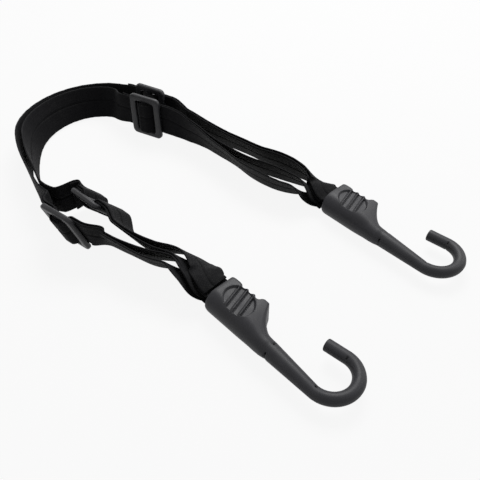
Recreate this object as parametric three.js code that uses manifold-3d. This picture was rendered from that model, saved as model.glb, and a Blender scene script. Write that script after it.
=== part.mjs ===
// Adjustable flat elastic luggage strap with a moulded hook at each end.
// It lies on the ground in the shape of a U, on the edges of its bands, with both hooks on their sides.
// Millimetres, +Z up. The origin is the middle of the strap's box, on the ground.
import * as THREE from "three";
import { mergeVertices } from "three/addons/utils/BufferGeometryUtils.js";
import Module from "manifold-3d";

// Bands
const band_width = 25;
const band_thickness = 1.4;
const mouth_band_width = 17.6;
const pin_band_width = 16.2;
const layer_gap = 0.3;
const ground_gap = 0.3;
const band_step = 7;
const bend_step = 3.5;
const weave_step = 1.25;
const tail_clearance = 0.5;
const swell_share = 0.8;
const stub_lift = 1.4;
const mouth_taper_length = 26;

// Sliders
const slider_length = 26;
const slider_rail = 4;
const slider_bar = 4.2;
const slider_centre_bar = 4;
const slider_thickness = 3;
const slider_corner_radius = 3.2;
const slider_edge = 0.7;
const window_clearance = 0.6;
const weave_clearance = 0.35;
const slide_travel = 4;

// How straight the bands leave a slider: the length over which they reach their own path
const long_ease = 20;
const short_ease = 14;

// Hooks
const hook_thickness = 18;
const back_depth = 17.4;
const collar_height = 5.8;
const crest_height = 5.3;
const block_height = 6.9;
const collar_length = 7;
const scoop_length = 17;
const end_block_length = 4.6;
const flank_length = 16;
const hump_edge_radius = 2.6;
const back_corner = 9;
const mouth_edge = 3;
const mouth_edge_depth = 1;
const shank_radius = 5.5;
const rod_radius = 3.8;
const bend_radius = 14.3;
const bend_centre_length = 80.2;
const bend_end_degrees = 97;
const tip_length = 13;
const tip_edge = 0.7;
const seam_step = 0.6;
const seam_length = 48;

// Grip recess on both sides of a hook
const recess_place = 16.2;
const recess_middle = -5;
const recess_length = 24;
const recess_height = 17.8;
const recess_tilt_degrees = -17;
const recess_depth = 1.3;
const rib_depth = 0.35;
const rib_width = 1.5;
const rib_pitch = 5.4;
const rib_count = 3;
const rib_tilt_degrees = 16.5;
const scallop_radius = 2.7;
const scallop_depth = 1.3;

// Mouth and cross pin
const mouth_wall = 1.3;
const back_wall = 2;
const side_wall = 1.8;
const mouth_corner = 5.5;
const mouth_depth = 21;
const pin_radius = 2.2;
const pin_mouth_distance = 9.8;
const pin_seat_depth = 0.5;
const pin_clearance = 0.3;
const loop_clearance = 0.3;
const mouth_corner_room = 1.4;
const cut_overrun = 3;

// The lay-out on the ground: places are shares of the lay-out reach
const layout_reach = 100;
const near_hook = { place_shares: [0.466, -1.115], heading_degrees: -47.2 };
const far_hook = { place_shares: [1.221, -0.244], heading_degrees: -47.9 };

// The middle line between both straps, from the near hook round to the far one.
// Each station has its place as shares of the reach, and the lean of each strap in degrees.
// Then come half the distance between the straps and their lift off the ground, as shares of the band's width.
const route_shares = [
  [-0.285, -0.408, 68, 68, 0.185, 0.08],
  [-0.38, -0.318, 48, 48, 0.225, 0.03],
  [-0.535, -0.265, 38, 44, 0.24, 0.02],
  [-0.7, -0.16, 29, 41, 0.32, 0.07],
  [-0.87, -0.03, 23, 40, 0.47, 0.125],
  [-1.035, 0.07, 18, 40, 0.58, 0.15],
  [-1.196, 0.168, 12, 20, 0.36, 0.12],
  [-1.345, 0.28, 6, 8, 0.14, 0.07],
  [-1.45, 0.46, 4, 4, 0.115, 0.02],
  [-1.54, 0.635, 8, 8, 0.1, 0],
  [-1.61, 0.83, 16, 16, 0.095, 0],
  [-1.65, 1.02, 25, 25, 0.095, 0],
  [-1.64, 1.19, 29, 29, 0.095, 0],
  [-1.58, 1.35, 30, 30, 0.095, 0],
  [-1.475, 1.485, 30, 30, 0.095, 0],
  [-1.335, 1.575, 28, 28, 0.1, 0],
  [-1.18, 1.6, 24, 24, 0.12, 0.02],
  [-1.04, 1.56, 16, 16, 0.16, 0.07],
  [-0.895, 1.44, 7, 7, 0.24, 0.14],
  [-0.716, 1.322, 0, 0, 0.29, 0.184],
  [-0.555, 1.242, -4, -4, 0.23, 0.14],
  [-0.41, 1.165, -10, -10, 0.19, 0.07],
  [-0.265, 1.068, -18, -18, 0.16, 0.02],
  [-0.127, 0.955, -24, -24, 0.16, 0],
  [0.008, 0.848, -27, -27, 0.155, 0],
  [0.14, 0.74, -29, -29, 0.15, 0],
  [0.275, 0.655, -31, -31, 0.175, 0],
  [0.398, 0.566, -38, -38, 0.175, 0.01],
  [0.5, 0.477, -58, -58, 0.17, 0.05],
];
// Each slider has the station that it sits on and how far it has slipped from there.
// It also has the side that its centre bar pushes the bands to, and how its loose ends lie.
const near_station = 5;
const far_station = 19;
const sliders = [
  {
    name: "near_outer", strap: "outer", end: "near", station: near_station, slip: 0, bulge: 1,
    swell: 0.8, stub: 30, tail_gap: 6, ease: long_ease,
  },
  {
    name: "near_inner", strap: "inner", end: "near", station: near_station, slip: 0, bulge: 1,
    swell: 0.3, stub: 23, tail_gap: 3, ease: short_ease,
  },
  {
    name: "far_inner", strap: "inner", end: "far", station: far_station, slip: 0, bulge: -1,
    swell: 7, stub: 24, tail_gap: 3, ease: long_ease,
  },
  {
    name: "far_outer", strap: "outer", end: "far", station: far_station, slip: -4, bulge: -1,
    swell: 0.4, stub: 24, tail_gap: 3, ease: long_ease,
  },
];

// How the layers turn: leans in degrees
const upright_lean = 35;
const flat_lean = 70;
const side_by_side_lean = 50;
const stacked_lean = 90;

// Fineness of the curves
const corner_steps = 5;
const corner_gap_degrees = 2;
const shank_steps = 4;
const bend_steps = 16;
const oval_steps = 14;
const round_steps = 20;
const path_steps = 20;
const loop_steps = 12;
const loop_leg_steps = 4;
const loop_taper_share = 0.7;
const flank_power = 2.1;

// Sizes that follow from the ones above
const half_thickness = hook_thickness / 2;
const bend_depth = back_depth - bend_radius;
const inner_low = back_wall - back_depth;
const inner_high = crest_height - scallop_depth - mouth_wall;
const band_low = inner_low + mouth_corner_room;
const mouth_middle = band_low + mouth_band_width / 2;
const pin_middle = band_low + pin_band_width / 2;
const loop_radius = pin_radius + loop_clearance + band_thickness / 2;
const layer_offset = (band_thickness + layer_gap) / 2;
const slider_width = band_width + 2 * window_clearance + 2 * slider_rail;
const weave_depth = slider_thickness / 2 + weave_clearance + band_thickness + layer_gap / 2;
const weave_top = slider_centre_bar / 2 + weave_clearance;
const weave_bottom = slider_length / 2 - slider_bar;
const weave_hold = slider_length / 2 + slide_travel + band_thickness;
const arc_degrees = 90 - 2 * corner_gap_degrees;

const wasm = await Module();
wasm.setup();

const radians = THREE.MathUtils.degToRad;
const smooth = (x, from, to) => THREE.MathUtils.smoothstep(x, from, to);

// A closed mesh as a solid for booleans, and back.
function solidOf(geometry) {
  const bare = geometry.clone();
  bare.deleteAttribute("normal");
  bare.deleteAttribute("uv");
  const merged = mergeVertices(bare, band_thickness / 10000);
  const mesh = new wasm.Mesh({
    numProp: 3,
    vertProperties: merged.attributes.position.array,
    triVerts: new Uint32Array(merged.index.array),
  });
  return new wasm.Manifold(mesh);
}

function geometryOf(solid) {
  const mesh = solid.getMesh();
  const geometry = new THREE.BufferGeometry();
  geometry.setAttribute("position", new THREE.BufferAttribute(new Float32Array(mesh.vertProperties), 3));
  geometry.setIndex(new THREE.BufferAttribute(new Uint32Array(mesh.triVerts), 1));
  return geometry;
}

// A closed skin through rings of points, with a flat cap at each end.
function loft(rings) {
  const size = rings[0].length;
  const points = rings.flat();
  const faces = [];
  for (let r = 0; r < rings.length - 1; r += 1) {
    for (let i = 0; i < size; i += 1) {
      const j = (i + 1) % size;
      const a = r * size + i;
      const b = r * size + j;
      // The seam of each four-sided patch runs the same way on a band's two faces.
      if (i < size / 2) {
        faces.push(a, b, b + size, a, b + size, a + size);
      } else {
        faces.push(a, b, a + size, b, b + size, a + size);
      }
    }
  }
  const last = (rings.length - 1) * size;
  for (let i = 1; i < size - 1; i += 1) {
    faces.push(0, i + 1, i);
    faces.push(last, last + i, last + i + 1);
  }
  const geometry = new THREE.BufferGeometry();
  const flat = points.flatMap((p) => [p.x, p.y, p.z]);
  geometry.setAttribute("position", new THREE.BufferAttribute(new Float32Array(flat), 3));
  const inside_out = signedVolume(points, faces) < 0;
  geometry.setIndex(inside_out ? faces.reverse() : faces);
  return geometry;
}

// Six times the volume inside a closed skin, below zero where its faces point inwards.
function signedVolume(points, faces) {
  let sum = 0;
  for (let i = 0; i < faces.length; i += 3) {
    const [a, b, c] = [faces[i], faces[i + 1], faces[i + 2]].map((index) => points[index]);
    sum += a.dot(new THREE.Vector3().crossVectors(b, c));
  }
  return sum;
}

// A closed section with round corners, as [across, up] pairs, the same number of points for any size.
function roundSection(half, bottom, top, bottom_radius, top_radius) {
  const corners = [
    { across: half - bottom_radius, up: bottom + bottom_radius, radius: bottom_radius, start: -90 },
    { across: half - top_radius, up: top - top_radius, radius: top_radius, start: 0 },
    { across: top_radius - half, up: top - top_radius, radius: top_radius, start: 90 },
    { across: bottom_radius - half, up: bottom + bottom_radius, radius: bottom_radius, start: 180 },
  ];
  return corners.flatMap(({ across, up, radius, start }) => {
    const arc = [];
    for (let i = 0; i <= corner_steps; i += 1) {
      // The ends of neighbouring arcs stay apart when a section is a full circle.
      const angle = radians(start + corner_gap_degrees + (arc_degrees * i) / corner_steps);
      arc.push([across + radius * Math.cos(angle), up + radius * Math.sin(angle)]);
    }
    return arc;
  });
}

// Hook: a hollow handle with a ribbed hump, a tapering shank and a round bend.
// In its own frame X runs from the mouth to the bend, Y to the hump, and the hook's middle plane is Z = 0.
const scoop_start = collar_length;
const scoop_end = collar_length + scoop_length;
const block_end = scoop_end + end_block_length;
const flank_end = block_end + flank_length;

// How far the skin draws in towards the hook's mouth.
function mouthRounding(x) {
  const left = Math.max(mouth_edge - x, 0);
  return (mouth_edge_depth / mouth_edge) * (mouth_edge - Math.sqrt(mouth_edge ** 2 - left ** 2));
}

function handleTop(x) {
  const step = end_block_length / 3;
  const scooped = smooth(x, scoop_start - step, scoop_start + step);
  const block_share = smooth(x, scoop_end - step, scoop_end + step);
  const grip = THREE.MathUtils.lerp(collar_height - mouthRounding(x) / 4, crest_height, scooped);
  const block = THREE.MathUtils.lerp(grip, block_height, block_share);
  const shank_top = shankCentre(x) + shankRadius(x);
  const down = (x - block_end) / flank_length;
  const drop = down <= 0 ? 0 : Math.min(1, 1 - (1 - Math.min(down, 1)) ** flank_power);
  return THREE.MathUtils.lerp(block, shank_top, drop);
}

function shankRadius(x) {
  const along = (x - seam_length) / (bend_centre_length - seam_length);
  return THREE.MathUtils.lerp(shank_radius, rod_radius, THREE.MathUtils.clamp(along, 0, 1));
}

function shankCentre(x) {
  return shankRadius(x) - back_depth + seam_step / 2;
}

function hookRings() {
  const rings = [];
  const at = (x, y, z) => new THREE.Vector3(x, y, z);
  const across_hook = (x, section) => section.map(([across, up]) => at(x, up, across));
  const fine = collar_length / 6;
  const stations = [0, mouth_edge / 8, mouth_edge / 2, mouth_edge];
  for (let x = mouth_edge + fine; x < flank_end; x += fine) {
    stations.push(x);
  }
  stations.push(seam_length - seam_step, seam_length);
  for (const x of stations) {
    const rim = mouthRounding(x);
    const slim = smooth(x, scoop_end, seam_length);
    const skirt = x < seam_length ? seam_step / 2 : 0;
    const half = THREE.MathUtils.lerp(half_thickness, shankRadius(x), slim) - rim + skirt * slim;
    const back_radius = THREE.MathUtils.lerp(back_corner, half, slim);
    const bottom = rim - back_depth + (x < seam_length ? 0 : seam_step / 2);
    const top = handleTop(x);
    const room = (top - bottom) / 2;
    const full = THREE.MathUtils.lerp(hump_edge_radius, half, smooth(x, block_end, flank_end));
    const top_radius = Math.min(full, half, room);
    const bottom_radius = Math.min(back_radius, half, room);
    rings.push(across_hook(x, roundSection(half, bottom, top, bottom_radius, top_radius)));
  }
  for (let i = 1; i <= shank_steps; i += 1) {
    const x = THREE.MathUtils.lerp(seam_length, bend_centre_length, i / shank_steps);
    const r = shankRadius(x);
    rings.push(across_hook(x, roundSection(r, shankCentre(x) - r, shankCentre(x) + r, r, r)));
  }
  const turn = radians(bend_end_degrees + 90);
  const out = bend_centre_length;
  const lift = shankCentre(out) + bend_radius;
  const ringAt = (angle, slide, radius) => {
    const middle = at(out + bend_radius * Math.cos(angle), lift + bend_radius * Math.sin(angle), 0);
    const along = at(-Math.sin(angle), Math.cos(angle), 0);
    const outward = at(Math.cos(angle), Math.sin(angle), 0);
    middle.addScaledVector(along, slide);
    return roundSection(radius, -radius, radius, radius, radius).map(([across, up]) =>
      middle.clone().addScaledVector(outward, -up).add(at(0, 0, across)),
    );
  };
  for (let i = 1; i <= bend_steps; i += 1) {
    rings.push(ringAt(-Math.PI / 2 + (turn * i) / bend_steps, 0, rod_radius));
  }
  const end = turn - Math.PI / 2;
  rings.push(ringAt(end, tip_length - tip_edge, rod_radius));
  rings.push(ringAt(end, tip_length, rod_radius - tip_edge));
  return rings;
}

// The tilted oval that each side of the grip is sunk in, less its ribs.
function gripCutter(side) {
  const oval = new THREE.Shape();
  oval.absellipse(0, 0, recess_length / 2, recess_height / 2, 0, 2 * Math.PI);
  const floor = side > 0 ? half_thickness : -half_thickness - cut_overrun;
  const sunk = (depth) => {
    const shape = { depth: depth + cut_overrun, bevelEnabled: false, curveSegments: oval_steps };
    const geometry = new THREE.ExtrudeGeometry(oval, shape);
    geometry.rotateZ(radians(recess_tilt_degrees));
    return solidOf(geometry.translate(0, 0, side > 0 ? floor - depth : floor));
  };
  let deep = sunk(recess_depth);
  for (let i = 0; i < rib_count; i += 1) {
    const rib = new THREE.BoxGeometry(rib_width, 2 * recess_height, 4 * cut_overrun);
    rib.rotateZ(radians(rib_tilt_degrees));
    const place = (i - (rib_count - 1) / 2) * rib_pitch;
    deep = deep.subtract(solidOf(rib.translate(place, 0, side * half_thickness)));
  }
  return deep.add(sunk(rib_depth)).translate([recess_place, recess_middle, 0]);
}

// Scallops over the top of the hump, between the ribs and after the last one.
function scallopCutters() {
  const cutters = [];
  const height = crest_height + scallop_radius - scallop_depth;
  const shift = (recess_middle - crest_height) * Math.tan(radians(rib_tilt_degrees));
  for (let i = 0; i < rib_count; i += 1) {
    const x = recess_place + shift + (i - (rib_count - 2) / 2) * rib_pitch;
    const length = hook_thickness + cut_overrun;
    const round = new THREE.CylinderGeometry(scallop_radius, scallop_radius, length, round_steps);
    round.rotateX(Math.PI / 2);
    cutters.push(solidOf(round.translate(x, height, 0)));
  }
  return cutters;
}

// The hollow behind the mouth, lower under the scooped part of the hump.
function mouthCutter() {
  const half = half_thickness - side_wall;
  const high = collar_height - mouth_wall;
  const ringAt = (x, drawn_in, top, top_radius) =>
    roundSection(half - drawn_in, inner_low + drawn_in, top - drawn_in, mouth_corner, top_radius).map(
      ([across, up]) => new THREE.Vector3(x, up, across),
    );
  return solidOf(
    loft([
      ringAt(-cut_overrun, 0, high, mouth_wall),
      ringAt(scoop_start - 2 * mouth_wall, 0, high, mouth_wall),
      ringAt(scoop_start, 0, inner_high, mouth_wall),
      ringAt(mouth_depth - mouth_wall, 0, inner_high, mouth_wall),
      ringAt(mouth_depth, mouth_wall, inner_high, mouth_wall / 2),
    ]),
  );
}

const pin_low = inner_low - pin_seat_depth;
const pin_high = inner_high + pin_seat_depth;

function pinCylinder(radius, extra) {
  const length = pin_high - pin_low + 2 * extra;
  const cylinder = new THREE.CylinderGeometry(radius, radius, length, round_steps);
  return cylinder.translate(pin_mouth_distance, (pin_low + pin_high) / 2, 0);
}

function hookGeometry() {
  let hook = solidOf(loft(hookRings()));
  hook = hook.subtract(mouthCutter());
  hook = hook.subtract(gripCutter(1));
  hook = hook.subtract(gripCutter(-1));
  for (const cutter of scallopCutters()) {
    hook = hook.subtract(cutter);
  }
  hook = hook.subtract(solidOf(pinCylinder(pin_radius + pin_clearance, pin_clearance)));
  return geometryOf(hook);
}

// A flat band through stations that each give its middle, its width direction and its face direction.
function bandGeometry(stations) {
  const rings = stations.map(({ middle, across, face, width }) => {
    const corner = (a, f) =>
      middle
        .clone()
        .addScaledVector(across, (a * width) / 2)
        .addScaledVector(face, (f * band_thickness) / 2);
    return [corner(-1, -1), corner(1, -1), corner(1, 1), corner(-1, 1)];
  });
  return loft(rings);
}

// The band's turn round the cross pin, in the hook's frame.
function loopGeometry() {
  const stations = [];
  const across = new THREE.Vector3(0, 1, 0);
  const start = -layer_gap;
  const put = (x, z, face_x, face_z, inside) => {
    const y = THREE.MathUtils.lerp(mouth_middle, pin_middle, inside);
    stations.push({
      middle: new THREE.Vector3(x, y, z),
      across,
      face: new THREE.Vector3(face_x, 0, face_z),
      width: THREE.MathUtils.lerp(mouth_band_width, pin_band_width, inside),
    });
  };
  for (let i = 0; i < loop_leg_steps; i += 1) {
    const x = THREE.MathUtils.lerp(start, pin_mouth_distance, i / loop_leg_steps);
    put(x, loop_radius, 0, 1, smooth(i / loop_leg_steps, 0, loop_taper_share));
  }
  for (let i = 0; i <= loop_steps; i += 1) {
    const angle = Math.PI / 2 - (Math.PI * i) / loop_steps;
    const x = pin_mouth_distance + loop_radius * Math.cos(angle);
    put(x, loop_radius * Math.sin(angle), Math.cos(angle), Math.sin(angle), 1);
  }
  for (let i = loop_leg_steps - 1; i >= 0; i -= 1) {
    const x = THREE.MathUtils.lerp(start, pin_mouth_distance, i / loop_leg_steps);
    put(x, -loop_radius, 0, -1, smooth(i / loop_leg_steps, 0, loop_taper_share));
  }
  return bandGeometry(stations);
}

// Slider: a flat frame with a bar across its middle, in its own frame X along the strap and Y across it.
function roundedOutline(target, left, bottom, right, top, radius) {
  target.moveTo(left + radius, bottom);
  target.lineTo(right - radius, bottom);
  target.absarc(right - radius, bottom + radius, radius, -Math.PI / 2, 0);
  target.lineTo(right, top - radius);
  target.absarc(right - radius, top - radius, radius, 0, Math.PI / 2);
  target.lineTo(left + radius, top);
  target.absarc(left + radius, top - radius, radius, Math.PI / 2, Math.PI);
  target.lineTo(left, bottom + radius);
  target.absarc(left + radius, bottom + radius, radius, Math.PI, (3 * Math.PI) / 2);
  return target;
}

function sliderGeometry() {
  const far = slider_length / 2;
  const wide = slider_width / 2;
  const inner = wide - slider_rail;
  const [x, y] = [far - slider_edge, wide - slider_edge];
  const frame = roundedOutline(new THREE.Shape(), -x, -y, x, y, slider_corner_radius - slider_edge);
  for (const side of [-1, 1]) {
    const near_edge = slider_centre_bar / 2 - slider_edge;
    const far_edge = far - slider_bar + slider_edge;
    const left = side > 0 ? near_edge : -far_edge;
    const right = side > 0 ? far_edge : -near_edge;
    const high = inner + slider_edge;
    frame.holes.push(roundedOutline(new THREE.Path(), left, -high, right, high, slider_edge * 2));
  }
  const geometry = new THREE.ExtrudeGeometry(frame, {
    depth: slider_thickness - 2 * slider_edge,
    bevelThickness: slider_edge,
    bevelSize: slider_edge,
    bevelSegments: 1,
    curveSegments: 3,
  });
  return geometry.translate(0, 0, slider_edge - slider_thickness / 2);
}

// Where a hook's own frame lies in the lay-out.
function hookFrame(hook) {
  const heading = radians(hook.heading_degrees);
  const along = new THREE.Vector3(Math.cos(heading), Math.sin(heading), 0);
  const up = new THREE.Vector3(-Math.sin(heading), Math.cos(heading), 0);
  const [x, y] = hook.place_shares;
  const origin = new THREE.Vector3(x * layout_reach, y * layout_reach, half_thickness);
  origin.addScaledVector(along, -bend_centre_length);
  return { heading, along, up, origin };
}

function inHook(frame, x, y, z) {
  const place = frame.origin.clone().addScaledVector(frame.along, x).addScaledVector(frame.up, y);
  return place.add(new THREE.Vector3(0, 0, z));
}

const near_frame = hookFrame(near_hook);
const far_frame = hookFrame(far_hook);
const mouth_run = mouth_band_width / 3;
const mouth_gap = 3 * layer_gap;

// Layers side by side slide along their own faces as they lean, so that all of them reach the ground.
function slideShare(lean) {
  return Math.tan(radians(lean)) * (1 - smooth(Math.abs(lean), upright_lean, flat_lean));
}

// The straps lie side by side along the route and one above the other at both mouths.
function stackLean(lean) {
  const share = smooth(Math.abs(lean), side_by_side_lean, stacked_lean);
  return Math.sign(lean) * stacked_lean * share;
}

function restHeight(lean) {
  const leaned = Math.abs(Math.sin(radians(lean)));
  return ground_gap + (band_width / 2) * Math.cos(radians(lean)) + (layer_offset + band_thickness) * leaned;
}

// The route with the stations at both mouths added. The bands lie flat in a mouth, turned over by a quarter.
function mouthStation(frame, x, lean) {
  const place = inHook(frame, x, mouth_middle, 0);
  return { place, leans: [lean, lean], spread: loop_radius, heights: null };
}
const stations = [
  mouthStation(near_frame, -mouth_gap, stacked_lean),
  mouthStation(near_frame, -mouth_run, stacked_lean),
  ...route_shares.map(([x, y, outer_lean, inner_lean, spread_share, lift_share]) => {
    const heights = [outer_lean, inner_lean].map((lean) => restHeight(lean) + lift_share * band_width);
    const place = new THREE.Vector3(x * layout_reach, y * layout_reach, 0);
    return { place, leans: [outer_lean, inner_lean], spread: spread_share * band_width, heights };
  }),
  mouthStation(far_frame, -mouth_run, -stacked_lean),
  mouthStation(far_frame, -mouth_gap, -stacked_lean),
];
const mouth_stations = 2;

const smoothCurve = (points) => new THREE.CatmullRomCurve3(points, false, "catmullrom", 0.5);

// One strap's path: its middle, width direction and outward face direction at any length along it.
function strapPath(side) {
  const own = side > 0 ? 0 : 1;
  const place_curve = smoothCurve(
    stations.map(({ place, heights }) => (heights ? place.clone().setZ(heights[own]) : place)),
  );
  const angle_curve = smoothCurve(
    stations.map(({ leans, spread }) => new THREE.Vector3(leans[own], spread, leans[0] + leans[1])),
  );
  const samples = [];
  const count = path_steps * (stations.length - 1);
  for (let i = 0; i <= count; i += 1) {
    const t = i / count;
    const tangent = place_curve.getTangent(t);
    const level = new THREE.Vector3(-tangent.y, tangent.x, 0).normalize();
    const { x: lean, y: spread, z: lean_sum } = angle_curve.getPoint(t);
    const leaned = (angle, along_level, along_z) =>
      level.clone().multiplyScalar(along_level(angle)).add(new THREE.Vector3(0, 0, along_z(angle)));
    const across = leaned(radians(lean), Math.sin, Math.cos);
    const face = leaned(radians(lean), Math.cos, (angle) => -Math.sin(angle));
    const apart = leaned(radians(stackLean(lean_sum / 2)), Math.cos, (angle) => -Math.sin(angle));
    const slide = slideShare(lean);
    const middle = place_curve.getPoint(t).addScaledVector(apart, side * spread);
    const length = i ? samples[i - 1].length + middle.distanceTo(samples[i - 1].middle) : 0;
    samples.push({ middle, across, face, slide, length });
  }
  const total = samples[count].length;
  const raw = (length) => {
    const s = THREE.MathUtils.clamp(length, 0, total);
    let i = samples.findIndex((p) => p.length >= s);
    i = Math.max(i, 1);
    const [a, b] = [samples[i - 1], samples[i]];
    const f = (s - a.length) / (b.length - a.length);
    return {
      middle: a.middle.clone().lerp(b.middle, f),
      across: a.across.clone().lerp(b.across, f).normalize(),
      face: a.face.clone().lerp(b.face, f).normalize(),
      slide: THREE.MathUtils.lerp(a.slide, b.slide, f),
    };
  };
  return { total, raw, stationLength: (index) => samples[path_steps * index].length };
}

const paths = { outer: strapPath(1), inner: strapPath(-1) };

// Each slider's place on its strap, with the strap held straight through it.
for (const slider of sliders) {
  const path = paths[slider.strap];
  const length = path.stationLength(slider.station + mouth_stations) + slider.slip;
  const here = path.raw(length);
  const before = path.raw(length - slider_length / 2).middle;
  const after = path.raw(length + slider_length / 2).middle;
  const along = after.clone().sub(before).setZ(0).normalize();
  const across = here.across.clone().addScaledVector(along, -here.across.dot(along)).normalize();
  const face = new THREE.Vector3().crossVectors(along, across).normalize();
  if (face.dot(here.face) < 0) {
    face.negate();
  }
  Object.assign(slider, { length, middle: here.middle, along, across, face });
}

// The strap's path with its straight stretches and its weave through the sliders.
function wovenPoint(strap, length) {
  const { middle, across, face, slide } = paths[strap].raw(length);
  let loose = 1;
  for (const slider of sliders.filter((s) => s.strap === strap)) {
    const from = length - slider.length;
    const away = Math.abs(from);
    if (away < weave_hold + slider.ease) {
      const free = smooth(away, weave_hold, weave_hold + slider.ease);
      const straight = slider.middle.clone().addScaledVector(slider.along, from);
      middle.lerpVectors(straight, middle, free);
      across.lerpVectors(slider.across, across, free).normalize();
      face.lerpVectors(slider.face, face, free).normalize();
      const over = 1 - 2 * smooth(away, weave_top, weave_bottom);
      middle.addScaledVector(face, slider.bulge * weave_depth * over * (1 - free));
      loose = free;
    }
  }
  return { middle, across, face, slide: slide * loose };
}

// One layer of band on a strap, at its offset from the strap's path.
function bandStation(strap, length, offset) {
  const reach = weave_step / 4;
  const here = wovenPoint(strap, length);
  const behind = wovenPoint(strap, length - reach).middle;
  const along = wovenPoint(strap, length + reach).middle.sub(behind).normalize();
  const across = here.across.clone().addScaledVector(along, -here.across.dot(along)).normalize();
  const face = new THREE.Vector3().crossVectors(along, across).normalize();
  if (face.dot(here.face) < 0) {
    face.negate();
  }
  const from_end = Math.min(length, paths[strap].total - length);
  const width = THREE.MathUtils.lerp(mouth_band_width, band_width, smooth(from_end, 0, mouth_taper_length));
  const middle = here.middle.addScaledVector(face, offset).addScaledVector(across, offset * here.slide);
  return { middle, across, face, width };
}

// Where the layers of each strap begin and end, as lengths along it.
for (const slider of sliders) {
  const toward_hook = slider.end === "near" ? -1 : 1;
  const hook_end = slider.end === "near" ? 0 : paths[slider.strap].total;
  const half_gap = layer_gap / 2;
  Object.assign(slider, {
    toward_hook,
    hook_end,
    taper_end: hook_end - toward_hook * mouth_taper_length,
    free_end: slider.length + toward_hook * (weave_hold + slider.ease),
    other_free_end: slider.length - toward_hook * (weave_hold + slider.ease),
    tail_end: hook_end - toward_hook * slider.tail_gap,
    stub_end: slider.length - toward_hook * slider.stub,
    tail_start: slider.length - toward_hook * (weave_hold - half_gap),
    middle_end: slider.length - toward_hook * (weave_hold + half_gap),
    stub_start: slider.length + toward_hook * (weave_hold - half_gap),
    leg_start: slider.length + toward_hook * (weave_hold + half_gap),
  });
}

// The lengths that all layers of a strap are built at: close together in a slider, further apart elsewhere.
function strapMarks(strap) {
  const own = sliders.filter((slider) => slider.strap === strap);
  const ends = own.flatMap((s) => [
    s.hook_end, s.taper_end, s.tail_end, s.free_end, s.leg_start, s.tail_start, s.middle_end, s.stub_start,
    s.other_free_end, s.stub_end,
  ]);
  ends.sort((a, b) => a - b);
  const marks = [ends[0]];
  for (let i = 1; i < ends.length; i += 1) {
    const middle = (ends[i - 1] + ends[i]) / 2;
    const near_slider = (reach) => own.some((s) => Math.abs(middle - s.length) < weave_hold + reach(s));
    const in_taper = Math.min(middle, paths[strap].total - middle) < mouth_taper_length;
    let step = in_taper || near_slider((s) => s.ease) ? bend_step : band_step;
    if (near_slider(() => 0)) {
      step = weave_step;
    }
    const steps = Math.ceil((ends[i] - ends[i - 1]) / step);
    for (let j = 1; j <= steps; j += 1) {
      marks.push(THREE.MathUtils.lerp(ends[i - 1], ends[i], j / steps));
    }
  }
  return marks;
}

const marks = { outer: strapMarks("outer"), inner: strapMarks("inner") };

function legOffset(slider, length) {
  return layer_offset * smooth(Math.abs(length - slider.hook_end), 0, mouth_taper_length);
}

function layer(strap, ends, offsetAt) {
  const from = Math.min(...ends) - layer_gap / 10;
  const to = Math.max(...ends) + layer_gap / 10;
  const lengths = marks[strap].filter((length) => length > from && length < to);
  return bandGeometry(lengths.map((length) => bandStation(strap, length, offsetAt(length))));
}

// The pieces of both straps
const strap_group = new THREE.Group();
const finish = (color, roughness, metalness) => {
  return () => new THREE.MeshStandardMaterial({ color, roughness, metalness });
};
const bandMaterial = finish(0x19191b, 0.85, 0);
const sliderMaterial = finish(0x2c2c2e, 0.42, 0);
const hookMaterial = finish(0x3a3a3d, 0.48, 0);
const pinMaterial = finish(0xb4b6b8, 0.3, 1);

function addMesh(parent, name, geometry, material) {
  const mesh = new THREE.Mesh(geometry, material);
  mesh.name = name;
  parent.add(mesh);
  return mesh;
}

for (const strap of ["outer", "inner"]) {
  const near = sliders.find((s) => s.strap === strap && s.end === "near");
  const far = sliders.find((s) => s.strap === strap && s.end === "far");
  const middle = layer(strap, [near.middle_end, far.middle_end], () => -layer_offset);
  addMesh(strap_group, "middle_band_" + strap, middle, bandMaterial());
  for (const slider of [near, far]) {
    const free_from = weave_hold + slider.ease;
    const tail_room = Math.abs(slider.tail_end - slider.length) - free_from;
    const tail = layer(strap, [slider.tail_start, slider.tail_end], (length) => {
      const passed = slider.toward_hook * (length - slider.length) - free_from;
      const out = THREE.MathUtils.clamp(passed / tail_room, 0, 1);
      const swell = slider.swell * Math.sin(Math.PI * Math.min(out / swell_share, 1)) ** 2;
      const clear = tail_clearance * smooth(out, 0, swell_share);
      return legOffset(slider, length) - 2 * layer_offset - swell - clear;
    });
    addMesh(strap_group, "middle_band_end_" + slider.name, tail, bandMaterial());

    const stub = layer(strap, [slider.stub_end, slider.stub_start], (length) => {
      const passed = slider.toward_hook * (slider.length - length) - weave_hold;
      const out = Math.max(passed, 0) / (slider.stub - weave_hold);
      return layer_offset + stub_lift * out;
    });
    addMesh(strap_group, "hook_band_end_" + slider.name, stub, bandMaterial());

    const leg = layer(strap, [slider.leg_start, slider.hook_end], (length) => legOffset(slider, length));
    addMesh(strap_group, "hook_band_leg_" + slider.name, leg, bandMaterial());

    const body = addMesh(strap_group, "slider_" + slider.name, sliderGeometry(), sliderMaterial());
    const face = new THREE.Vector3().crossVectors(slider.along, slider.across);
    body.quaternion.setFromRotationMatrix(new THREE.Matrix4().makeBasis(slider.along, slider.across, face));
    body.position.copy(slider.middle);
  }
}

for (const [name, frame] of [["near", near_frame], ["far", far_frame]]) {
  const group = new THREE.Group();
  group.position.copy(frame.origin);
  group.rotation.z = frame.heading;
  addMesh(group, "hook_" + name, hookGeometry(), hookMaterial());
  addMesh(group, "cross_pin_" + name, pinCylinder(pin_radius, 0), pinMaterial());
  addMesh(group, "hook_band_loop_" + name, loopGeometry(), bandMaterial());
  strap_group.add(group);
}

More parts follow.
